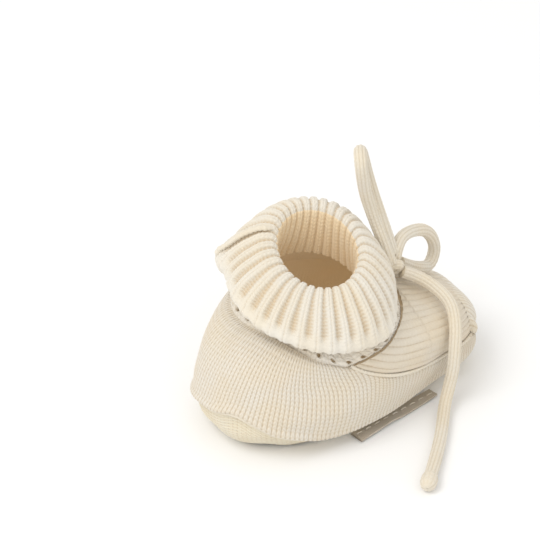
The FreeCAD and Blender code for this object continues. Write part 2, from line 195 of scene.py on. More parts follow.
def smooth(xs, ys, x, rounder=False):
    """Cubic curve through points; without rounder it never swings past them."""
    xs = np.asarray(xs, float)
    ys = np.asarray(ys, float)
    step = np.diff(xs)
    slope = np.diff(ys) / step
    tangent = np.gradient(ys, xs)
    if not rounder:
        product = slope[:-1] * slope[1:]
        total = slope[:-1] + slope[1:]
        safe = np.where(product > 0, total, 1.0)
        tangent[1:-1] = np.where(product > 0, 2 * product / safe, 0.0)
    x = np.clip(x, xs[0], xs[-1])
    index = np.clip(np.searchsorted(xs, x, side="right") - 1, 0, len(step) - 1)
    h = step[index]
    t = (x - xs[index]) / h
    return ((2 * t ** 3 - 3 * t ** 2 + 1) * ys[index]
            + (t ** 3 - 2 * t ** 2 + t) * h * tangent[index]
            + (3 * t ** 2 - 2 * t ** 3) * ys[index + 1]
            + (t ** 3 - t ** 2) * h * tangent[index + 1])


def ring_sizes(level):
    """Reach behind, reach ahead, half width, lean and lowness of the ring at a level."""
    heights = FOOT_RINGS[:, 0]
    back, front, half, lean = (smooth(heights, FOOT_RINGS[:, k], level) for k in (1, 2, 3, 4))
    low = np.clip((26.0 - level) / 10.0, 0, 1)
    return back, front, half, np.radians(lean), low


def squareness(level, low, ahead_of_middle):
    """Exponent of the ring's outline: blunt at the toe, rounder at the ankle."""
    blunt = np.where(ahead_of_middle, 2.4 + 0.5 * low, 2.4)
    return np.where(level > 28, np.clip(2.4 - (level - 28) * 0.025, 2.0, 2.4), blunt)


def narrowing(ahead, low):
    """Share of the ring's width that the waist leaves, below the instep."""
    return 1 + (smooth(WAIST[:, 0], WAIST[:, 1], ahead) - 1) * low


def signed_power(value, power):
    return np.sign(value) * np.abs(value) ** power


def foot_point(level, bearing):
    """Point of the foot's outer surface at a ring level and a bearing in radians."""
    back, front, half, lean, low = ring_sizes(level)
    power = squareness(level, low, np.cos(bearing) > 0)
    ahead = (front - back) / 2 + (front + back) / 2 * signed_power(np.cos(bearing), 2 / power)
    side = -half * signed_power(np.sin(bearing), 2 / power) * narrowing(ahead, low)
    return np.stack([side * np.cos(lean), -ahead, level + side * np.sin(lean)], axis=-1)


def even_bearings(count, level, first=0.0, last=2 * math.pi, closed=True):
    """Bearings that step evenly along the ring at a level."""
    dense = np.linspace(first, last, 4000)
    points = foot_point(np.full(dense.shape, level), dense)
    run = np.concatenate([[0], np.cumsum(np.linalg.norm(np.diff(points, axis=0), axis=1))])
    goal = np.linspace(0, run[-1], count, endpoint=not closed)
    return np.interp(goal, run, dense)


def first_level(bearings, measure, highest=57.0):
    """For each bearing, the level where measure(points) first turns positive."""
    levels = np.linspace(0.2, highest, 900)
    points = foot_point(levels[None, :], bearings[:, None])
    value = measure(points)
    index = np.maximum(np.argmax(value > 0, axis=1), 1)
    row = np.arange(len(bearings))
    before = value[row, index - 1]
    after = value[row, index]
    share = np.clip(-before / (after - before), 0, 1)
    return levels[index - 1] + share * (levels[index] - levels[index - 1])


def above_band_edge(rise):
    """Measure of how far points are above the ankle band's lower edge, raised by rise."""
    def measure(points):
        bearing = np.degrees(np.arctan2(-points[..., 0], ANKLE_PLACE - points[..., 1])) % 360
        edge = smooth(BAND_EDGE[:, 0], BAND_EDGE[:, 1], bearing)
        return points[..., 2] - edge - rise
    return measure


def vamp_measure(points):
    """How far points are above the vamp seam."""
    return points[..., 2] - smooth(VAMP_SEAM[:, 0], VAMP_SEAM[:, 1], -points[..., 1])


def sole_seam_level(bearings):
    """Height of the sole seam at bearings in radians."""
    degrees = np.degrees(bearings) % 360.0
    return smooth(SOLE_SEAM[:, 0], SOLE_SEAM[:, 1], degrees)


def grid_normals(points, closed):
    """Unit normals of a grid of points; the first axis may close on itself."""
    if closed:
        across = np.roll(points, -1, axis=0) - np.roll(points, 1, axis=0)
    else:
        across = np.gradient(points, axis=0)
    along = np.gradient(points, axis=1)
    normal = np.cross(across, along)
    return normal / np.maximum(np.linalg.norm(normal, axis=-1, keepdims=True), 1e-9)


def ripple(points, size, seed):
    """Slow uneven wave in space, about -1 to 1, that keeps knit from looking machined."""
    state = np.random.RandomState(seed)
    total = np.zeros(points.shape[:-1])
    for _ in range(5):
        direction = state.normal(size=3)
        direction /= np.linalg.norm(direction)
        total += np.sin(points @ direction * 2 * math.pi / size * state.uniform(0.6, 1.5)
                        + state.uniform(0, 6.28))
    return total / 3.0


# ---------------------------------------------------------------- meshes

def grid_faces(rows, columns, closed):
    """Quad corners of a grid, row by row."""
    last = rows if closed else rows - 1
    first = np.arange(last)[:, None]
    column = np.arange(columns - 1)[None, :]
    following = (first + 1) % rows
    return np.stack([first * columns + column, following * columns + column,
                     following * columns + column + 1, first * columns + column + 1],
                    axis=-1).reshape(-1, 4)


def make_mesh(name, points, faces, stitches=None, relief_shade=None):
    """Mesh object from numpy points (mm) and quads, with knit coordinates and a relief value that
    drives bump and painted shade.
    """
    mesh = bpy.data.meshes.new(name)
    mesh.vertices.add(len(points))
    mesh.vertices.foreach_set("co", (points * MM).astype(np.float32).ravel())
    mesh.loops.add(faces.size)
    mesh.loops.foreach_set("vertex_index", faces.astype(np.int32).ravel())
    mesh.polygons.add(len(faces))
    mesh.polygons.foreach_set("loop_start", np.arange(0, faces.size, 4, dtype=np.int32))
    mesh.polygons.foreach_set("use_smooth", np.ones(len(faces), bool))
    mesh.update(calc_edges=True)
    if stitches is not None:
        layer = mesh.uv_layers.new(name="knit")
        layer.data.foreach_set("uv", stitches[faces.ravel()].astype(np.float32).ravel())
    # Relief attribute: stitch height, which the knit materials turn into bump and into painted
    # shade in the hollows.
    shade = mesh.attributes.new("relief_shade", "FLOAT", "POINT")
    values = np.ones(len(points)) if relief_shade is None else np.clip(relief_shade, 0, 1)
    shade.data.foreach_set("value", values.astype(np.float32).ravel())
    item = bpy.data.objects.new(name, mesh)
    bpy.context.scene.collection.objects.link(item)
    return item


def stitch_grid(rows, columns, wales, courses):
    """Knit coordinates of a grid: so many wales by so many courses."""
    u = np.linspace(0, wales, rows)[:, None] * np.ones(columns)
    v = np.ones(rows)[:, None] * np.linspace(0, courses, columns)
    return np.stack([u, v], axis=-1)


class Sheets:
    """Gathers grids into one mesh object."""

    def __init__(self):
        self.points, self.faces, self.stitches, self.relief_shade = [], [], [], []
        self.inside = []
        self.total = 0

    def add(self, points, closed, stitches, relief_shade, flip=False, keep=None, inside=0):
        """One grid of points; inside counts the first columns that face the foot, which get the
        inside material with painted shade and glow.
        """
        rows, columns = points.shape[:2]
        faces = grid_faces(rows, columns, closed)
        within = np.tile(np.arange(columns - 1) < inside, len(faces) // (columns - 1))
        if keep is not None:
            within = within[keep[faces].all(axis=1)]
            faces = faces[keep[faces].all(axis=1)]
        if flip:
            faces = faces[:, ::-1]
        self.points.append(points.reshape(-1, 3))
        self.faces.append(faces + self.total)
        self.inside.append(within)
        self.stitches.append(stitches.reshape(-1, 2))
        self.relief_shade.append(np.broadcast_to(relief_shade, points.shape[:2]).reshape(-1))
        self.total += rows * columns

    def build(self, name):
        item = make_mesh(name, np.concatenate(self.points), np.concatenate(self.faces),
                         np.concatenate(self.stitches), np.concatenate(self.relief_shade))
        within = np.concatenate(self.inside).astype(np.int32)
        item.data.polygons.foreach_set("material_index", within)
        return item


def finish_piece(item, material, node=None, body=ROOT):
    """Material, frame body and the CAD node that this piece stands for."""
    item.data.materials.append(material)
    # Faces that face the foot get the inside copy of the knit, with painted shade and painted glow.
    if any(face.material_index for face in item.data.polygons):
        item.data.materials.append(SHADED_INSIDE)
    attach(item, body)
    if node:
        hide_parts(node)
    return item


def face_outward(points, normal, middle):
    """Normals turned so that they point away from the middle of the piece."""
    away = ((points - middle) * normal).sum(-1).mean()
    return normal if away > 0 else -normal, away < 0


def stockinette(stitches):
    """Height of plain knit: every wale is a column of V stitches."""
    across = stitches[..., 0] % 1.0
    leg = np.abs(across - 0.5) * 2
    column = np.abs(np.sin(math.pi * across)) ** 0.6
    course = 0.5 + 0.5 * np.cos(2 * math.pi * (stitches[..., 1] + 0.7 * leg))
    return 0.72 * column + 0.28 * course * column


# ---------------------------------------------------------------- materials

def add_node(tree, kind, **inputs):
    node = tree.nodes.new(kind)
    for name, value in inputs.items():
        node.inputs[name.replace("_", " ")].default_value = value
    return node


def knit_material(name, light, shade_tone, stitch=0.0, fuzz=0.35, tint=(1.0, 0.93, 0.8), glow=0.0):
    """Soft cotton yarn with painted shade: pale on top of the stitches, warm and darker between
    them where shade falls. A little painted glow stands for the light that comes through the knit
    from outside."""
    material = bpy.data.materials.new(name)
    material.use_nodes = True
    tree = material.node_tree
    links = tree.links
    shader = tree.nodes["Principled BSDF"]
    shader.inputs["Roughness"].default_value = 0.92
    shader.inputs["Sheen Weight"].default_value = 0.35
    shader.inputs["Sheen Roughness"].default_value = 0.6
    shader.inputs["Specular IOR Level"].default_value = 0.12
    # Painted glow: emission in the shade colour, lighting the yarn without a lamp.
    shader.inputs["Emission Color"].default_value = (*shade_tone, 1)
    shader.inputs["Emission Strength"].default_value = glow
    place = tree.nodes.new("ShaderNodeTexCoord")
    relief_shade = tree.nodes.new("ShaderNodeAttribute")
    relief_shade.attribute_name = "relief_shade"
    # Colour ramp from stitch height: painted shade, dark in the hollows between stitches and pale
    # on their tops.
    ramp = tree.nodes.new("ShaderNodeValToRGB")
    ramp.color_ramp.elements[0].color = (*shade_tone, 1)
    ramp.color_ramp.elements[1].color = (*light, 1)
    ramp.color_ramp.elements[1].position = 0.75
    blotch = add_node(tree, "ShaderNodeTexNoise", Scale=90.0, Detail=3.0)
    fibre = add_node(tree, "ShaderNodeTexNoise", Scale=2600.0, Detail=4.0, Roughness=0.7)
    links.new(place.outputs["Object"], blotch.inputs["Vector"])
    links.new(place.outputs["Object"], fibre.inputs["Vector"])
    mottled = tree.nodes.new("ShaderNodeMath")
    mottled.operation = "MULTIPLY_ADD"
    mottled.inputs[1].default_value = 0.5
    links.new(fibre.outputs["Fac"], mottled.inputs[0])
    links.new(relief_shade.outputs["Fac"], mottled.inputs[2])
    centred = tree.nodes.new("ShaderNodeMath")
    centred.operation = "SUBTRACT"
    centred.inputs[1].default_value = 0.25
    links.new(mottled.outputs[0], centred.inputs[0])
    height = centred.outputs[0]
    # The V stitches also darken the colour between their legs: painted shade.
    if stitch > 0:
        vees = vee_height(tree)
        shaded = tree.nodes.new("ShaderNodeMath")
        shaded.operation = "MULTIPLY_ADD"
        shaded.inputs[1].default_value = stitch
        links.new(vees, shaded.inputs[0])
        links.new(height, shaded.inputs[2])
        lowered = tree.nodes.new("ShaderNodeMath")
        lowered.operation = "SUBTRACT"
        lowered.inputs[1].default_value = stitch * 0.6
        links.new(shaded.outputs[0], lowered.inputs[0])
        height = lowered.outputs[0]
    links.new(height, ramp.inputs["Fac"])
    mix = tree.nodes.new("ShaderNodeMix")
    mix.data_type = "RGBA"
    mix.blend_type = "MULTIPLY"
    links.new(ramp.outputs["Color"], mix.inputs["A"])
    tone = tree.nodes.new("ShaderNodeValToRGB")
    tone.color_ramp.elements[0].position = 0.35
    tone.color_ramp.elements[0].color = (*tint, 1)
    tone.color_ramp.elements[1].position = 0.65
    tone.color_ramp.elements[1].color = (1, 1, 1, 1)
    links.new(blotch.outputs["Fac"], tone.inputs["Fac"])
    links.new(tone.outputs["Color"], mix.inputs["B"])
    mix.inputs["Factor"].default_value = 0.5
    links.new(mix.outputs["Result"], shader.inputs["Base Color"])
    bump = add_node(tree, "ShaderNodeBump", Strength=fuzz, Distance=0.0004)
    links.new(height, bump.inputs["Height"])
    links.new(bump.outputs["Normal"], shader.inputs["Normal"])
    return material


def vee_height(tree):
    """Shader height of V stitches from the knit coordinates."""
    links = tree.links
    knit = tree.nodes.new("ShaderNodeUVMap")
    knit.uv_map = "knit"
    split = tree.nodes.new("ShaderNodeSeparateXYZ")
    links.new(knit.outputs["UV"], split.inputs[0])

    def math_node(operation, first, second=None, third=None):
        node = tree.nodes.new("ShaderNodeMath")
        node.operation = operation
        for socket, value in zip(node.inputs, (first, second, third)):
            if value is None:
                continue
            if isinstance(value, (int, float)):
                socket.default_value = value
            else:
                links.new(value, socket)
        return node.outputs[0]

    across = math_node("FRACT", split.outputs["X"])
    centred = math_node("SUBTRACT", across, 0.5)
    leg = math_node("ABSOLUTE", centred)
    column = math_node("ABSOLUTE", math_node("SINE", math_node("MULTIPLY", across, 6.2832)))
    course = math_node("MULTIPLY_ADD", leg, 1.3, split.outputs["Y"])
    wave = math_node("COSINE", math_node("MULTIPLY", course, 6.2832))
    lifted = math_node("MULTIPLY_ADD", wave, 0.38, 0.62)
    return math_node("MULTIPLY", lifted, column)


# Knit colours: the first is the yarn on the stitch tops, the second is painted shade for the
# hollows between stitches.
LIGHT = (0.75, 0.70, 0.615)
SHADE_TONE = (0.585, 0.495, 0.37)
STOCKINETTE = knit_material("stockinette_knit", LIGHT, SHADE_TONE, stitch=0.5, fuzz=0.5)
# The toe's copy of the knit is a little darker and greyer: painted shade on the toe, which lies
# away from the light.
TOE_KNIT = knit_material("toe_knit", (0.735, 0.69, 0.60), SHADE_TONE, stitch=0.2, fuzz=0.4)
RIB = knit_material("rib_knit", (0.76, 0.715, 0.63), (0.58, 0.44, 0.27), stitch=0.25, fuzz=0.6)
RIDGE = knit_material("ridge_knit", (0.70, 0.63, 0.52), (0.54, 0.42, 0.27), stitch=0.2, fuzz=0.5)
SOLE_KNIT = knit_material("sole_knit", (0.76, 0.70, 0.56), (0.58, 0.48, 0.33), stitch=0.4, fuzz=0.6)
CORD_KNIT = knit_material("knitted_cord", (0.76, 0.705, 0.605), (0.66, 0.58, 0.45), stitch=0.25,
                          fuzz=0.5)
YARN = knit_material("seam_yarn", (0.745, 0.69, 0.59), (0.56, 0.47, 0.34))
# The insole's golden tan is painted warm shade of the bootie's inside, and its glow is painted
# light through the knit.
LINING = knit_material("insole_lining", (0.78, 0.66, 0.44), (0.66, 0.52, 0.31), fuzz=0.25,
                       glow=0.3)
# Painted shade and glow: a darker, golden copy of the knit for the faces inside the bootie, where
# little light reaches; its emission stands in for light through the knit.
SHADED_INSIDE = knit_material("knit_inside_painted_shade", (0.72, 0.59, 0.41), (0.50, 0.38, 0.23), stitch=0.3,
                       fuzz=0.5, glow=0.2)
# The label's own tan, darkened with painted shade for the shadow under the side of the foot where
# it lies.
LABEL = knit_material("woven_label", (0.53, 0.47, 0.385), (0.40, 0.345, 0.275), stitch=0.4,
                      fuzz=0.3)
THREAD = knit_material("label_thread", (0.68, 0.63, 0.55), (0.45, 0.4, 0.32))


# ---------------------------------------------------------------- knitted panels

def panel(name, node, bearings, low, high, rows, closed, material, amplitude=0.28,
          edge=None, seed=1, slant=0.0):
    """Knitted panel between two curves on the foot, with its inner face. The slant is how
    many wales the columns move over with each course."""
    share = np.linspace(0, 1, rows)[None, :]
    levels = low[:, None] + (high - low)[:, None] * share
    base = foot_point(levels, bearings[:, None])
    normal, flip = face_outward(base, grid_normals(base, closed), FOOT_MIDDLE)
    ring = foot_point(np.full(len(bearings), PANEL_LEVEL), bearings)
    width = np.linalg.norm(np.diff(ring, axis=0), axis=1).sum()
    height = np.linalg.norm(np.diff(base, axis=1), axis=-1).sum(axis=1).mean()
    stitches = stitch_grid(len(bearings), rows, round(width / WALE), height / COURSE)
    stitches[..., 0] += slant * stitches[..., 1]
    knit = stockinette(stitches)
    lift = amplitude * knit + 0.35 * ripple(base, 22.0, seed)
    if edge is not None:
        lift = lift + edge(levels - low[:, None], high[:, None] - levels)
    outer = base + normal * lift[..., None]
    sheets = Sheets()
    # The stitch height also sets painted shade between the stitches.
    sheets.add(outer, closed, stitches, knit, flip)
    coarse = slice(None, None, 3)
    inner = (base - normal * KNIT_THICKNESS)[coarse, coarse]
    sheets.add(inner, closed, stitches[coarse, coarse], 0.8, not flip, inside=EVERY_COLUMN)
    return finish_piece(sheets.build(name), material, node)


def side_edge(from_low, from_high):
    """The side panel rolls out over the sole and puffs up a little beside the vamp seam."""
    roll = 1.2 * np.exp(-((from_low - 1.4) / 1.5) ** 2) - 2.0 * np.exp(-(from_low / 0.5) ** 2)
    tuck = -1.0 * np.exp(-(from_high / 0.9) ** 2)
    return roll + tuck - 0.4


def make_side_panel():
    """Plain-knit side of the foot, from the sole seam up to the band and the vamp."""
    bearings = even_bearings(5 * SIDE_WALES, PANEL_LEVEL)
    low = sole_seam_level(bearings)
    band = first_level(bearings, above_band_edge(0.0))
    seam = first_level(bearings, vamp_measure)
    high = np.maximum(np.minimum(band, seam), low + 1.5)
    panel("side_panel_knit", "side_panel", bearings, low, high, 96, True, STOCKINETTE,
          edge=side_edge, seed=3, slant=0.16)


def make_sole():
    """Knitted sole: the turned-up rim below the seam and the flat tread."""
    bearings = even_bearings(620, 10.0)
    top = sole_seam_level(bearings) + 0.6
    base = foot_point(top[:, None] * np.linspace(1, 0, 60)[None, :], bearings[:, None])
    shrink = np.linspace(1, 0.02, 40)[1:]
    centre = np.array([0.0, -1.5, 0.0])
    tread = centre + (base[:, -1:, :] - centre) * shrink[None, :, None]
    points = np.concatenate([base, tread], axis=1)
    normal, flip = face_outward(points, grid_normals(points, True), FOOT_MIDDLE)
    down = np.cumsum(np.linalg.norm(np.diff(base, axis=1, prepend=base[:, :1]), axis=-1), axis=1)
    rim_turn = np.arange(len(bearings))[:, None] / len(bearings) * 160 + 0 * down
    flat = np.stack([tread[..., 0] / 1.5, tread[..., 1] / 1.2], axis=-1)
    stitches = np.concatenate([np.stack([rim_turn, down / 1.2], axis=-1), flat], axis=1)
    garter = np.abs(np.sin(math.pi * stitches[..., 1])) ** 0.7
    knit = 0.65 * garter + 0.35 * stockinette(stitches)
    lift = 0.32 * knit + 0.35 * ripple(points, 14.0, 9) - 1.1
    points = points + normal * lift[..., None]
    points[..., 2] = np.maximum(points[..., 2], 0.05)
    sheets = Sheets()
    # Painted shade in the hollows between the sole's stitches and ridges.
    sheets.add(points, True, stitches, 0.2 + 0.8 * knit, flip)
    finish_piece(sheets.build("sole_knit_panel"), SOLE_KNIT, "sole")


def section_side(ahead, far, count):
    """Cross-section of the vamp at one distance ahead: its line from the seam up to the
    ankle band or the middle, and its length if it went on to the middle."""
    levels = np.linspace(8.0, 48.0, 1600)
    back, front, half, lean, low = ring_sizes(levels)
    along = (ahead - (front - back) / 2) / ((front + back) / 2)
    inside = np.abs(along) <= 1
    power = squareness(levels, low, along > 0)
    reach = half * np.clip(1 - np.abs(along) ** power, 0, 1) ** (1 / power)
    reach = reach * narrowing(ahead, low)
    side = reach if far else -reach
    points = np.stack([side * np.cos(lean), np.full(levels.shape, -ahead),
                       levels + side * np.sin(lean)], axis=-1)
    points = points[inside & (vamp_measure(points) >= 0)]
    if len(points) < 4:
        return None, 0.0, 0.0
    top = points[-1] * [0.0, 1.0, 1.0]
    points = np.concatenate([points, top[None]])
    step = np.linalg.norm(np.diff(points, axis=0), axis=1)
    whole = step.sum()
    use = above_band_edge(0.0)(points) <= 0
    if use.sum() < 4:
        return None, 0.0, 0.0
    points = points[:len(use) if use.all() else np.argmin(use)]
    run = np.concatenate([[0], np.cumsum(np.linalg.norm(np.diff(points, axis=0), axis=1))])
    goal = np.linspace(0, run[-1], count)
    line = np.stack([np.interp(goal, run, points[:, k]) for k in range(3)], axis=-1)
    return line, run[-1], whole


def make_vamp():
    """Instep panel with lengthwise ridges that follow its seams."""
    places = np.linspace(-21.0, TOE_SEAM_AHEAD + 1.0, 280)
    columns = 130
    sheets = Sheets()
    _, _, reference = section_side(RIDGE_REFERENCE, False, columns)
    ridges = round(reference / RIDGE_PITCH) + 0.5
    for far in (False, True):
        kept, lines, lengths, wholes = [], [], [], []
        for place in places:
            line, length, whole = section_side(place, far, columns)
            if line is not None:
                kept.append(place)
                lines.append(line)
                lengths.append(length)
                wholes.append(whole if place > RIDGE_REFERENCE else reference)
        base = np.array(lines)
        reaches_middle = np.array(lengths) > 0.97 * np.array(wholes)
        kept, lengths, wholes = (np.array(part)[:, None] for part in (kept, lengths, wholes))
        normal, flip = face_outward(base, grid_normals(base, False), FOOT_MIDDLE)
        normal[reaches_middle, -1, 0] = 0.0
        run = lengths * np.linspace(0, 1, columns)[None, :]
        row = run / wholes * ridges
        row = row + 0.14 * ripple(base, 15.0, 21) * np.clip(ridges - row, 0, 1)
        ridge = np.abs(np.sin(math.pi * row)) ** 0.6
        along = kept / 1.3 + 0 * row
        stitch = 0.5 + 0.5 * np.cos(2 * math.pi * (along + 0.25 * np.sin(math.pi * row)))
        uneven = 0.5 + 0.5 * ripple(base * [1, 0.5, 2], 9.0, 31)
        lift = (0.26 + 0.2 * uneven) * ridge + 0.10 * stitch * ridge - 0.4
        lift = lift + 0.35 * ripple(base, 20.0, 5)
        sink = -0.9 * np.exp(-(run / 0.8) ** 2)
        outer = base + normal * (lift + sink)[..., None]
        stitches = np.stack([row * 2, along], axis=-1)
        # Painted shade in the furrows between ridges, stronger at random along them and between
        # stitches.
        shade = 1 - (1 - ridge) * (0.35 + 0.45 * uneven) * (0.6 + 0.4 * (1 - stitch))
        sheets.add(outer, False, stitches, shade, flip)
        coarse = slice(None, None, 4)
        inner = (base - normal * KNIT_THICKNESS * 0.8)[coarse, coarse]
        sheets.add(inner, False, stitches[coarse, coarse], 0.8, not flip, inside=EVERY_COLUMN)
    finish_piece(sheets.build("vamp_knit"), RIDGE, "vamp")


def make_toe_band():
    """Smooth rolled band across the front of the toe, gathered where it ends."""
    bearings = np.linspace(-0.95, 0.95, 300)
    low = first_level(bearings, vamp_measure)
    ahead = first_level(bearings, lambda p: (TOE_SEAM_AHEAD + p[..., 1])
                        * (p[..., 2] > 12.0) + 0.01 * (p[..., 2] - 40.0))
    high = np.maximum(ahead, low + 0.2)
    gather = np.exp(-((np.abs(bearings) - 0.66) / 0.09) ** 2)[:, None]
    pinch = np.exp(-((np.abs(bearings) - 0.50) / 0.05) ** 2)[:, None]

    def roll(from_low, from_high):
        whole = np.maximum(from_low + from_high, 0.5)
        share = from_low / whole
        fade = np.clip(whole / 5.0, 0, 1)
        arch = np.sin(math.pi * np.clip(share, 0, 1)) ** 0.7
        return arch * (1.5 * fade + 1.5 * gather - 0.8 * pinch * fade) - 0.3

    panel("toe_band_knit", "toe_band", bearings, low, high, 44, False, TOE_KNIT,
          amplitude=0.07, edge=roll, seed=11)


def make_eyelet_band():
    """Band round the ankle with a row of small open eyelets."""
    rows = 40
    bearings = np.linspace(0, 2 * math.pi, 900, endpoint=False)
    low = first_level(bearings, above_band_edge(0.0))
    high = first_level(bearings, above_band_edge(BAND_HEIGHT))
    share = np.linspace(0, 1, rows)[None, :]
    base = foot_point(low[:, None] + (high - low)[:, None] * share, bearings[:, None])
    normal, flip = face_outward(base, grid_normals(base, True), FOOT_MIDDLE)
    stitches = stitch_grid(len(bearings), rows, EYELETS * 3, 6)
    knit = stockinette(stitches)
    ring = base[:, rows // 3, :]
    run = np.concatenate([[0], np.cumsum(np.linalg.norm(np.diff(ring, axis=0), axis=1))])
    turn = run / (run[-1] + run[1]) * EYELETS
    beside = (np.abs((turn % 1.0) - 0.5) * run[-1] / EYELETS)[:, None]
    rise = np.linalg.norm(base - base[:, :1, :], axis=-1) - 2.0
    distance = np.sqrt(beside ** 2 + (rise * 0.9) ** 2)
    rim = 0.35 * np.exp(-((distance - 1.15) / 0.4) ** 2)
    hollow = -1.3 * np.exp(-(distance / 0.75) ** 2)
    lift = 0.25 * knit + rim + hollow + 0.3 * ripple(base, 18.0, 14) - 0.3
    lift = lift + 0.4 * ripple(base, 5.0, 44) * np.exp(-(rise / 1.2) ** 2)
    lift = lift - 1.3 * np.exp(-((rise + 2.0) / 0.9) ** 2)
    outer = base + normal * lift[..., None]
    keep = (distance > 0.42).reshape(-1)
    # Painted shade round and in each eyelet, and a little between stitches.
    relief_shade = (0.35 + 0.65 * np.clip((distance - 0.45) / 0.5, 0, 1)) * (0.7 + 0.3 * knit)
    sheets = Sheets()
    sheets.add(outer, True, stitches, relief_shade, flip, keep)
    coarse = slice(None, None, 3)
    inner = (base - normal * KNIT_THICKNESS)[coarse, coarse]
    sheets.add(inner, True, stitches[coarse, coarse], 0.5, not flip, inside=EVERY_COLUMN)
    finish_piece(sheets.build("eyelet_band_knit"), STOCKINETTE, "eyelet_band")


# ---------------------------------------------------------------- ribbed cuff

def cuff_base(bearings, steps):
    """Plain surface of the cuff without its ribs: rings swept along its profile."""
    run = np.concatenate([[0], np.cumsum(np.hypot(np.diff(CUFF_RINGS[:, 0]),
                                                  np.diff(CUFF_RINGS[:, 1])))])
    goal = np.linspace(0, run[-1], steps)
    height, wide, long, place, lean, pitch = (
        smooth(run, CUFF_RINGS[:, k], goal, True) for k in range(6))
    lean = np.radians(lean)
    pitch = np.radians(pitch)
    side = -wide * np.sin(bearings)[:, None]
    ahead = long * np.cos(bearings)[:, None]
    x = side * np.cos(lean)
    y = place - ahead * np.cos(pitch)
    z = height + side * np.sin(lean) + ahead * np.sin(pitch)
    return np.stack([x, y, z], axis=-1), goal, wide, run


def make_cuff():
    """Ribbed cuff: inner wall, rolled fold, and the flap turned down over the ankle."""
    steps = 200
    count = RIBS * 14
    bearings = np.linspace(0, 2 * math.pi, count, endpoint=False)
    base, goal, radius, run = cuff_base(bearings, steps)
    normal = grid_normals(base, True)
    flip = ((base[:, 110] - CUFF_MIDDLE) * normal[:, 110]).sum(-1).mean() < 0
    normal = -normal if flip else normal
    on_flap = np.clip((goal - run[FOLD]) / (run[FLAP] - run[FOLD]), 0, 1)
    past_hem = np.clip((goal - run[HEM_TURN]) / 1.5, 0, 1)
    hem = np.exp(-((goal - run[HEM]) / 3.5) ** 2)
    state = np.random.RandomState(4)
    wobble = sum(state.uniform(0.2, 1) * np.sin(k * bearings + state.uniform(0, 6.28))
                 for k in (2, 3, 5, 7))[:, None] / 2.2
    rib = RIBS * bearings[:, None] / (2 * math.pi) + 0.10 * wobble * (1 + on_flap)
    part = rib % 1.0
    to_slot = np.minimum(part, 1 - part)
    closed = 1 - np.clip((run[HEM] - 1.6 - goal) / 2.6, 0, 1)
    half_slot = 0.13 + 0.07 * on_flap * (1 - closed)
    slot = 1 / (1 + np.exp((to_slot - half_slot) / 0.028))
    slot = slot * (1 - closed * np.clip(goal - run[FLARE], 0, 1))
    crease = np.exp(-((part - 0.5) / 0.05) ** 2)
    depth = (0.55 + 0.05 * (radius - 12.0) * on_flap) * (1 - past_hem)
    course = goal / 1.15
    leg = np.abs((rib * 2) % 1.0 - 0.5) * 2
    bead = 0.5 + 0.5 * np.cos(2 * math.pi * (course + 0.45 * leg))
    purl = 0.5 + 0.5 * np.cos(2 * math.pi * course)
    rounded = np.sin(math.pi * np.clip((to_slot - half_slot) / (0.5 - half_slot), 0, 1) / 2)
    lift = depth * (1.0 - slot + 0.35 * rounded ** 0.7 - 0.22 * crease)
    lift = lift + (1 - past_hem) * (0.11 * bead * (1 - slot) + 0.16 * purl * slot)
    lift = lift + 0.45 * ripple(base, 16.0, 8) * on_flap + 0.35 * hem * wobble - 0.5
    seam = math.radians(CUFF_SEAM_BEARING)
    from_seam = (bearings - seam + math.pi) % (2 * math.pi) - math.pi
    pull = np.exp(-(from_seam / 0.16) ** 2)[:, None]
    lift = lift + pull * (2.2 * hem + 0.8 * on_flap * (1 - past_hem))
    points = base + normal * lift[..., None]
    points[..., 2] -= pull * hem * 1.5 + hem * (0.5 * (1 - slot) + 0.4 * wobble)
    stitches = np.stack([rib * 2, course + 0 * rib], axis=-1)
    # Painted shade: darker in the slots between ribs (less on their purl bumps), in the crease down
    # each rib and between the beads.
    relief_shade = 1 - slot * (0.72 - 0.3 * purl) - 0.22 * crease - 0.12 * (1 - bead) * (1 - slot)
    sheets = Sheets()
    # The cuff's inner wall, up to the fold, gets the painted-shade inside material.
    fold = int(np.searchsorted(goal, run[FOLD]))
    sheets.add(points, True, stitches, relief_shade, flip, inside=fold)
    finish_piece(sheets.build("ribbed_cuff_knit"), RIB, "ribbed_cuff")


# ---------------------------------------------------------------- seams

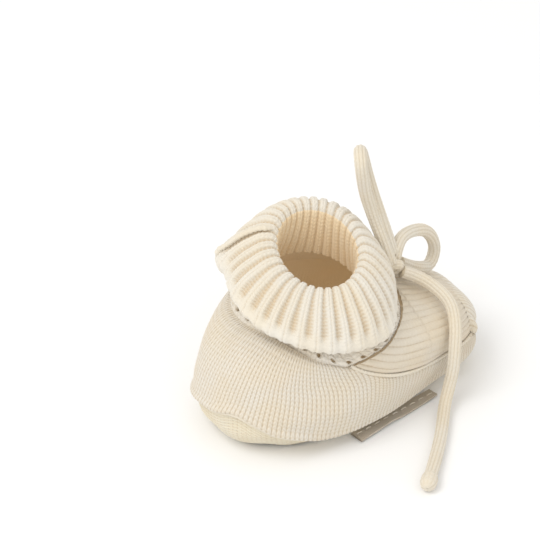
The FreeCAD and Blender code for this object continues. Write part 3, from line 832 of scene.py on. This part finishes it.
def tube(name, line, radius, around=12, wales=0, stitch=1.0, depth=0.0, taper=None,
         twist=0.0):
    """Round or knitted tube along a line of points (mm)."""
    tangent = np.gradient(line, axis=0)
    tangent /= np.linalg.norm(tangent, axis=1, keepdims=True)
    first = np.cross(tangent[0], [0.3, 0.2, 1.0])
    frames = [first / np.linalg.norm(first)]
    for direction in tangent[1:]:
        carried = frames[-1] - direction * (frames[-1] @ direction)
        frames.append(carried / np.linalg.norm(carried))
    side = np.array(frames)
    up = np.cross(tangent, side)
    run = np.concatenate([[0], np.cumsum(np.linalg.norm(np.diff(line, axis=0), axis=1))])
    angle = np.linspace(0, 2 * math.pi, around, endpoint=False)[:, None]
    turn = angle + twist * run[None, :]
    leg = np.abs((wales * angle / (2 * math.pi)) % 1.0 - 0.5) * 2
    column = np.abs(np.sin(wales * angle / 2)) ** 0.7 if wales else np.ones(angle.shape)
    bead = 0.5 + 0.5 * np.cos(2 * math.pi * (run[None, :] / stitch + 0.4 * leg))
    height = 0.6 * column + 0.4 * bead * (column if wales else 1.0)
    width = radius * (taper(run / run[-1]) if taper else 1.0)
    reach = width + depth * (height - 1.0)
    points = (line[None] + side[None] * (np.cos(turn) * reach)[..., None]
              + up[None] * (np.sin(turn) * reach)[..., None])
    stitches = np.stack([np.broadcast_to(wales * angle / (2 * math.pi), reach.shape),
                         np.broadcast_to(run[None, :] / stitch, reach.shape)], axis=-1)
    sheets = Sheets()
    # Painted shade in the hollows between the tube's stitches and wales.
    sheets.add(points, True, stitches, 0.25 + 0.75 * height, False)
    item = sheets.build(name)
    close_ends(item, around, len(line))
    return item


def close_ends(item, around, steps):
    """Caps both ends of a tube mesh and makes its faces point out."""
    grid = bmesh.new()
    grid.from_mesh(item.data)
    grid.verts.ensure_lookup_table()
    for end in (0, steps - 1):
        ring = [grid.verts[row * steps + end] for row in range(around)]
        face = grid.faces.new(ring)
        face.smooth = True
    bmesh.ops.recalc_face_normals(grid, faces=grid.faces)
    grid.to_mesh(item.data)
    grid.free()


def surface_line(bearings, levels, out):
    """Points just off the foot's surface, at given bearings and levels."""
    base = foot_point(levels, bearings)
    nudge = 1e-3
    across = foot_point(levels, bearings + nudge) - base
    along = foot_point(levels + nudge * 20, bearings) - base
    normal = np.cross(across, along)
    normal /= np.linalg.norm(normal, axis=1, keepdims=True)
    away = ((base - FOOT_MIDDLE) * normal).sum(axis=1, keepdims=True)
    return base + normal * np.sign(away) * out


def even_line(points, step):
    """The same line with points a step apart."""
    run = np.concatenate([[0], np.cumsum(np.linalg.norm(np.diff(points, axis=0), axis=1))])
    goal = np.linspace(0, run[-1], max(int(run[-1] / step), 4))
    return np.stack([np.interp(goal, run, points[:, k]) for k in range(3)], axis=-1)


def make_seams():
    """Linked yarn along the sole, both sides of the vamp, and where the ends of the cuff meet."""
    bearings = np.linspace(0, 2 * math.pi, 700, endpoint=False)
    line = surface_line(bearings, sole_seam_level(bearings) + 0.3, -0.2)
    loop = np.concatenate([line, line[:1]])
    yarn = tube("sole_seam_yarn", even_line(loop, 0.35), 0.55, 10, stitch=1.3, depth=0.25)
    finish_piece(yarn, YARN, "sole_seam")
    for name, start, end in (("near", 0.5, 2.02), ("far", 2 * math.pi - 0.5, 4.26)):
        turn = np.linspace(start, end, 300)
        level = first_level(turn, vamp_measure)
        top = first_level(turn, above_band_edge(0.3))
        use = level < top
        line = surface_line(turn[use], level[use], -0.1)
        yarn = tube("vamp_seam_" + name + "_yarn", even_line(line, 0.3), 0.6, 10,
                    stitch=1.4, depth=0.35)
        finish_piece(yarn, YARN, "vamp_seam_" + name)
    make_cuff_seam()


def make_cuff_seam():
    """Ridge of linked yarn where the ends of the cuff meet, from the fold to the hem."""
    seam = math.radians(CUFF_SEAM_BEARING)
    bearing = np.array([seam - 0.02, seam])
    base, goal, _, run = cuff_base(bearing, 400)
    normal = grid_normals(base, False)[0]
    line = base[0]
    away = ((line - CUFF_MIDDLE) * normal).sum(-1)
    normal = normal * np.sign(away)[:, None]
    use = (goal > run[CREST]) & (goal < run[HEM])
    on_flap = np.clip((goal - run[FOLD]) / (run[FLAP] - run[FOLD]), 0, 1)
    out = 0.4 + 1.3 * on_flap + 1.7 * np.exp(-((goal - run[HEM]) / 3.5) ** 2)
    line = (line + normal * out[:, None])[use]
    yarn = tube("cuff_seam_yarn", even_line(line, 0.3), 0.9, 12, stitch=1.5, depth=0.45,
                taper=lambda t: np.clip(np.minimum(t, 1 - t) * 12, 0.35, 1))
    finish_piece(yarn, YARN, "cuff_seam")


# ---------------------------------------------------------------- drawstring

def route_points(points):
    """Points (mm) along the smooth NURBS line of a cord's route."""
    data = bpy.data.curves.new("route", "CURVE")
    data.dimensions = "3D"
    spline = data.splines.new("NURBS")
    spline.points.add(len(points) - 1)
    for control, point in zip(spline.points, points):
        control.co = (*[value * MM for value in point], 1.0)
    spline.order_u = 3
    spline.use_endpoint_u = True
    spline.resolution_u = 40
    item = bpy.data.objects.new("route", data)
    mesh = bpy.data.meshes.new_from_object(item)
    line = np.array([vertex.co[:] for vertex in mesh.vertices]) / MM
    bpy.data.objects.remove(item)
    bpy.data.meshes.remove(mesh)
    bpy.data.curves.remove(data)
    return line


def cord_piece(name, node, route):
    """Knitted cord along its route."""
    line = even_line(route_points(route), 0.32)
    cord = tube(name, line, CORD_DIAMETER / 2, 40, wales=CORD_WALES, stitch=CORD_STITCH,
                depth=0.22, twist=0.012)
    finish_piece(cord, CORD_KNIT, node)
    return cord


def tip_piece(name, node, route):
    """Rounded, slightly swollen end of a tail."""
    line = route_points(route)
    end = line[-1]
    heading = line[-1] - line[-8]
    heading /= np.linalg.norm(heading)
    run = np.linspace(-3.6, 3.6, 40)
    axis = end + heading * run[:, None]

    def bulb(share):
        place = share * 2 - 1
        return np.clip(1 - np.abs(place) ** 2.6, 0.0, 1) ** 0.5 + 0.02

    tip = tube(name, axis, 2.6, 32, wales=CORD_WALES, stitch=CORD_STITCH, depth=0.22,
               taper=bulb)
    return finish_piece(tip, CORD_KNIT, node)


def make_ankle_drawstring():
    """Cord round the ankle, hidden under the flap."""
    bearings = np.linspace(0, 2 * math.pi, 360, endpoint=False)
    lean = math.radians(ANKLE_CORD_LEAN)
    pitch = math.radians(ANKLE_CORD_PITCH)
    side = -ANKLE_CORD_WIDE * np.sin(bearings)
    ahead = ANKLE_CORD_LONG * np.cos(bearings)
    level = ANKLE_CORD_LEVEL + side * math.sin(lean) - ahead * math.sin(pitch)
    line = np.stack([side * math.cos(lean), ANKLE_CORD_PLACE - ahead * math.cos(pitch), level],
                    axis=-1)
    loop = np.concatenate([line, line[:1]])
    cord = tube("ankle_cord", even_line(loop, 0.4), ANKLE_CORD_RADIUS, 32,
                wales=CORD_WALES, stitch=CORD_STITCH, depth=0.22)
    finish_piece(cord, CORD_KNIT, "ankle_drawstring")


def make_knot():
    """Bow knot: a cord wrapped tightly across the middle of the bow."""
    middle = np.array([-2.0, -19.6, 39.9])
    turn = np.linspace(-0.35, 2 * math.pi + 0.5, 150)
    across = np.linspace(-1.5, 1.5, 150)
    wrap = np.stack([across + 0.25 * np.sin(turn * 2), 2.1 * np.cos(turn),
                     1.75 * np.sin(turn)], axis=-1)
    wrap = middle + wrap @ np.array([[0.93, -0.30, 0.1], [0.30, 0.95, 0.0], [-0.1, 0.0, 1.0]])
    knot = tube("bow_knot_cord", even_line(wrap, 0.25), 1.75, 36, wales=CORD_WALES,
                stitch=CORD_STITCH, depth=0.25)
    finish_piece(knot, CORD_KNIT, "bow_knot")


def make_drawstring():
    """Two loops, two tails with their tips, the ankle part and the knot."""
    near_tip = tip_piece("tail_tip_near_knit", "tail_tip_near", TAIL_NEAR)
    far_tip = tip_piece("tail_tip_far_knit", "tail_tip_far", TAIL_FAR)
    cord_piece("bow_loop_tall_cord", "bow_loop_tall", BOW_LOOP_TALL)
    cord_piece("bow_loop_small_cord", "bow_loop_small", BOW_LOOP_SMALL)
    cord_piece("tail_near_cord", "tail_near", TAIL_NEAR)
    cord_piece("tail_far_cord", "tail_far", TAIL_FAR)
    make_ankle_drawstring()
    make_knot()


# ---------------------------------------------------------------- insole and label

def make_insole():
    """Smooth footbed on the inside of the sole."""
    bearings = np.linspace(0, 2 * math.pi, 160, endpoint=False)
    share = np.array([0.0, 0.3, 0.6, 0.8, 0.9, 0.96, 0.99, 1.0, 0.995, 0.98])
    height = np.array([1.1, 1.1, 1.15, 1.25, 1.35, 1.3, 1.1, 0.7, 0.3, 0.0]) + 2.7
    edge = foot_point(np.full(bearings.shape, 2.5), bearings)
    centre = np.array([0.0, -1.3, 0.0])
    out = (edge - centre) * 0.84
    points = np.empty((len(bearings), len(share), 3))
    points[..., 0] = centre[0] + out[:, 0, None] * share
    points[..., 1] = centre[1] + out[:, 1, None] * share
    points[..., 2] = height
    _, flip = face_outward(points, grid_normals(points, True), np.array([0, 0, -30.0]))
    stitches = np.stack([points[..., 0] / 1.5, points[..., 1] / 1.5], axis=-1)
    sheets = Sheets()
    sheets.add(points, True, stitches, 0.9, flip)
    finish_piece(sheets.build("insole_lining_pad"), LINING, "insole")


def label_frame(point):
    """From label coordinates (out, along, up) to the bootie's frame, in mm."""
    slant = math.radians(LABEL_SLANT)
    out, along, up = point[..., 0], point[..., 1], point[..., 2]
    x = -LABEL_SIDE - out * math.cos(slant) + along * math.sin(slant)
    y = LABEL_BACK - out * math.sin(slant) - along * math.cos(slant)
    return np.stack([x, y, 0.3 + up], axis=-1)


def make_label():
    """Blank woven tape label: folded double, with a soft kink along its length."""
    along = np.linspace(0, LABEL_LENGTH, 150)
    across = np.concatenate([np.linspace(0, 1, 22), [1.0], np.linspace(1, 0, 22)])
    width = LABEL_WIDTH_HEEL + (LABEL_WIDTH_TOE - LABEL_WIDTH_HEEL) * along / LABEL_LENGTH
    out = across[None, :] * (width[:, None] + LABEL_TUCKED) - LABEL_TUCKED
    thick = np.concatenate([np.full(22, 0.75), [0.4], np.full(22, 0.05)])
    kink = 0.5 * np.exp(-((along - 13.0) / 3.0) ** 2)
    wave = 0.22 * np.sin(along / LABEL_LENGTH * 7.0) + 0.25
    up = thick[None, :] + (kink + wave)[:, None] * across[None, :] ** 1.5
    local = np.stack([out, np.broadcast_to(along[:, None], out.shape), up], axis=-1)
    points = label_frame(local)
    stitches = np.stack([local[..., 0] / 0.45, local[..., 1] / 0.45], axis=-1)
    # Weave relief, which the label material also turns into painted shade in the hollows between
    # threads.
    weave = 0.5 + 0.25 * (np.cos(2 * math.pi * stitches[..., 0])
                          + np.cos(2 * math.pi * stitches[..., 1]))
    sheets = Sheets()
    sheets.add(points, False, stitches, weave, True)
    finish_piece(sheets.build("side_label_tape"), LABEL, "side_label", "label")
    make_label_stitches()


def make_label_stitches():
    """Row of running stitches near the sewn edge of the label."""
    parts = []
    for index in range(LABEL_STITCHES):
        start = LABEL_LENGTH / LABEL_STITCHES * (index + 0.5) - 1.0
        t = np.linspace(0, 1, 12)
        local = np.stack([np.full(12, 1.1), start + 2.0 * t,
                          0.85 + 0.22 * np.sin(math.pi * t)], axis=-1)
        parts.append(tube("label_thread_%d" % index, label_frame(local), 0.22, 8,
                          stitch=0.5, depth=0.05))
    bpy.ops.object.select_all(action="DESELECT")
    for part in parts:
        part.select_set(True)
    bpy.context.view_layer.objects.active = parts[0]
    bpy.ops.object.join()
    thread = parts[0]
    thread.name = "label_thread_row"
    finish_piece(thread, THREAD, "label_stitches", "label")


# ---------------------------------------------------------------- stage and light

def make_stage():
    """Plain pale floor, soft light from the heel side and above, and a bright room."""
    mesh = bpy.data.meshes.new("floor")
    reach = 6.0
    mesh.from_pydata([(-reach, -reach, 0), (reach, -reach, 0), (reach, reach, 0),
                      (-reach, reach, 0)], [], [(0, 1, 2, 3)])
    floor = bpy.data.objects.new("floor", mesh)
    bpy.context.scene.collection.objects.link(floor)
    material = bpy.data.materials.new("floor_paper")
    material.use_nodes = True
    shader = material.node_tree.nodes["Principled BSDF"]
    shader.inputs["Base Color"].default_value = (0.93, 0.93, 0.93, 1)
    shader.inputs["Roughness"].default_value = 0.9
    floor.data.materials.append(material)
    world = bpy.data.worlds.new("room")
    world.use_nodes = True
    world.node_tree.nodes["Background"].inputs["Color"].default_value = (1.0, 0.99, 0.97, 1)
    world.node_tree.nodes["Background"].inputs["Strength"].default_value = 0.88
    bpy.context.scene.world = world
    softbox("key", (-0.05, 0.75, 1.1), 0.7, 6.0)
    softbox("fill", (-0.9, 0.3, 0.6), 0.9, 1.0)


def softbox(name, place, size, power):
    """Square area light aimed at the bootie."""
    data = bpy.data.lights.new(name, "AREA")
    data.size = size
    data.energy = power
    lamp = bpy.data.objects.new(name, data)
    bpy.context.scene.collection.objects.link(lamp)
    lamp.location = place
    aim = Vector(place) - Vector((0, 0, 0.03))
    lamp.rotation_euler = aim.to_track_quat("Z", "Y").to_euler()


def main():
    make_camera()
    make_drawstring()
    make_side_panel()
    make_sole()
    make_vamp()
    make_toe_band()
    make_eyelet_band()
    make_cuff()
    make_seams()
    make_insole()
    make_label()
    make_stage()
    bpy.context.scene.view_settings.view_transform = "Standard"


main()
